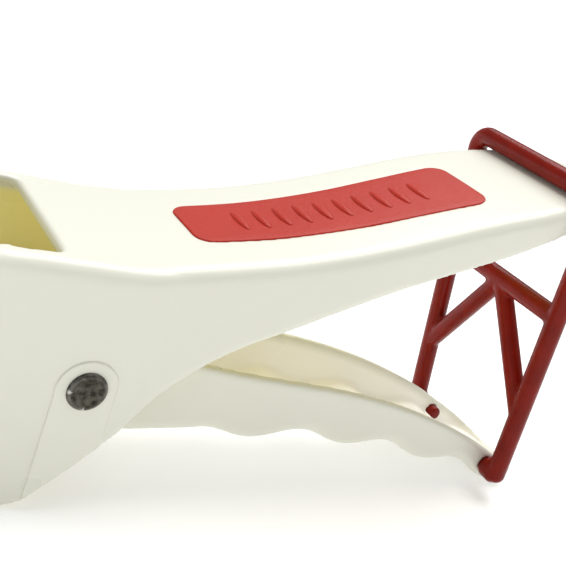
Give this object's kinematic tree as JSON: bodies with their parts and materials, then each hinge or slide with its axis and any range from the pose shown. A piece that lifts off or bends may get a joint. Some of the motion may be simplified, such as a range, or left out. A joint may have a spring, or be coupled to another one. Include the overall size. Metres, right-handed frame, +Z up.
{
  "type": "squeeze-handled egg slicer",
  "caption": "Hand-held egg slicer with a well for one egg over fixed blades, a comb pressed by a lower squeeze handle, and a hinged bail that ties the handles.",
  "frame": {"origin": "on the table, under the middle of the whole tool's box at rest", "axes": "+X from the head towards the handle's end, +Z up, +Y across the tool"},
  "size_m": [0.2178, 0.0588, 0.0878],
  "materials": {
    "white_shell": "smooth moulded, slightly glossy warm white",
    "red_panel": "fine moulded satin",
    "red_bail": "glossy dark red coating",
    "pin_steel": "turned face, dull",
    "frame_plastic": "fine texture",
    "blade_steel": "ground",
    "screw_steel": "bright",
    "spring_steel": "drawn wire",
    "bush_plastic": "plain bearing plastic",
    "pusher_plastic": "smooth moulded"
  },
  "bodies": {
    "body": {"upper_body": "white_shell", "grip_panel": "red_panel", "pivot_pin": "pin_steel", "pin_washer": "pin_steel", "pin_cap": "pin_steel", "blade_frame": "frame_plastic", "front_clamp": "frame_plastic", "rear_clamp": "frame_plastic", "clamp_screws": "screw_steel", "frame_screws": "screw_steel", "blade_1": "blade_steel", "blade_2": "blade_steel", "blade_3": "blade_steel", "blade_4": "blade_steel", "blade_5": "blade_steel", "blade_6": "blade_steel", "blade_7": "blade_steel"},
    "lever": {"lower_handle": "white_shell", "bush_near": "bush_plastic", "bush_far": "bush_plastic", "pusher": "pusher_plastic", "pusher_screws": "screw_steel", "return_spring": "spring_steel"},
    "bail": {"bail": "red_bail"}
  },
  "joints": [
    {"name": "lever_squeeze", "type": "hinge", "parent": "body", "child": "lever", "pos_m": [-0.02997, 0, 0.0277], "axis": [0, -1, 0], "range_deg": [0, 25], "stiffness_Nm_per_rad": 0.6, "springref_deg": -28.65, "deforming": ["return_spring"]},
    {"name": "bail_swing", "type": "hinge", "parent": "lever", "child": "bail", "pos_m": [0.09222, 0, 0.00713], "axis": [0, 1, 0], "range_deg": [0, 100]}
  ],
  "couplings": [
    {"joint": "bail_swing", "follows": "lever_squeeze", "ratio": 4}
  ]
}
